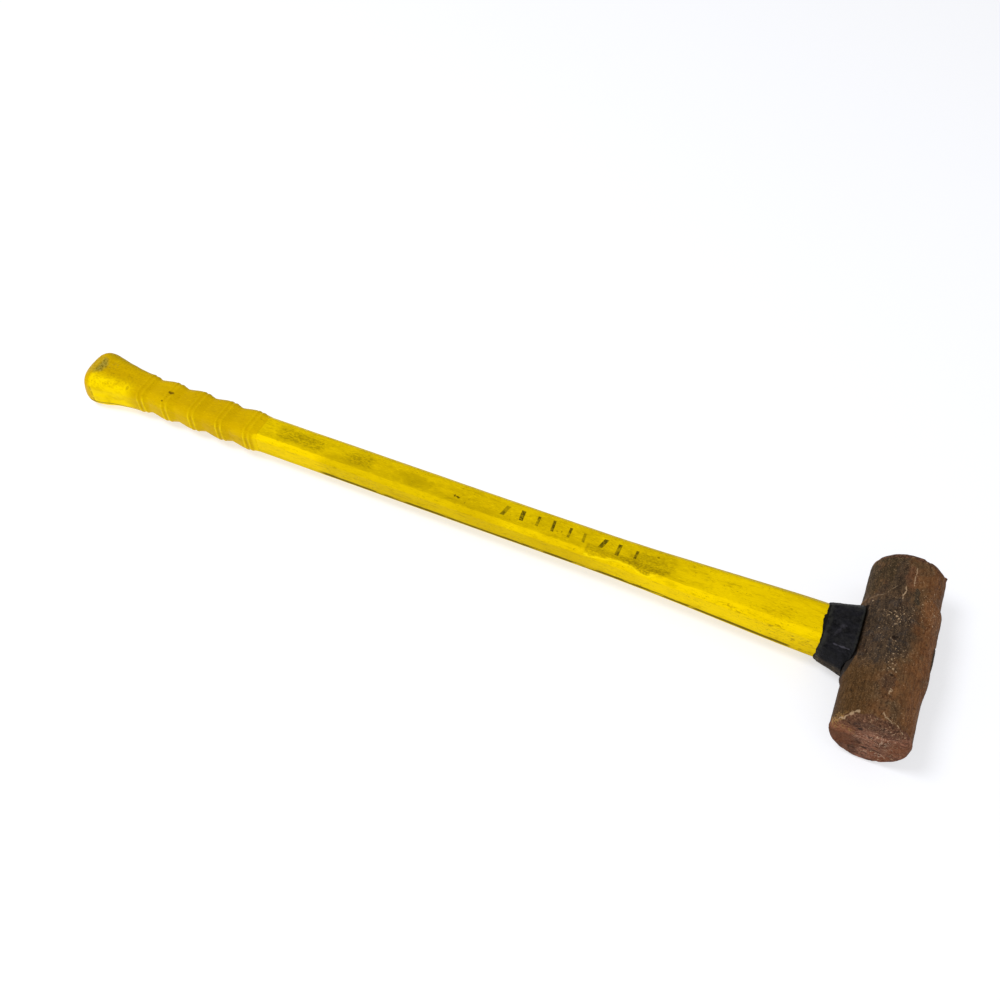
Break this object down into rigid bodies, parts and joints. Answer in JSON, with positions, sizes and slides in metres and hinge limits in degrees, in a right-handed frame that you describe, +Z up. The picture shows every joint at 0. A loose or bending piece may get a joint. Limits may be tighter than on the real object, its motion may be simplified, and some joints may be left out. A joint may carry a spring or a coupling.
{
  "type": "sledge hammer",
  "caption": "Double-faced sledge hammer with a soft octagonal steel head, a jacketed fibreglass handle, a rubber overstrike collar and a ringed grip with a flared butt.",
  "frame": {"origin": "on the floor under the middle of the hammer's bounding box, as it lies on its side", "axes": "+X along the handle towards the head, Y from strike face to strike face, +Z up"},
  "size_m": [0.9054, 0.1842, 0.0661],
  "materials": {
    "forged_steel": "rusted and battered",
    "bond": "cast",
    "seal_rubber": "matte",
    "fibreglass": "sawn",
    "jacket_plastic": "worn satin",
    "collar_rubber": "scuffed matte",
    "grip_rubber": "worn satin",
    "plug_plastic": "moulded"
  },
  "bodies": {
    "root": {"hammer_head": "forged_steel", "eye_bond": "bond", "eye_seal": "seal_rubber", "handle_core": "fibreglass", "handle_jacket": "jacket_plastic", "collar": "collar_rubber", "grip_sleeve": "grip_rubber", "butt_plug": "plug_plastic"}
  },
  "joints": []
}
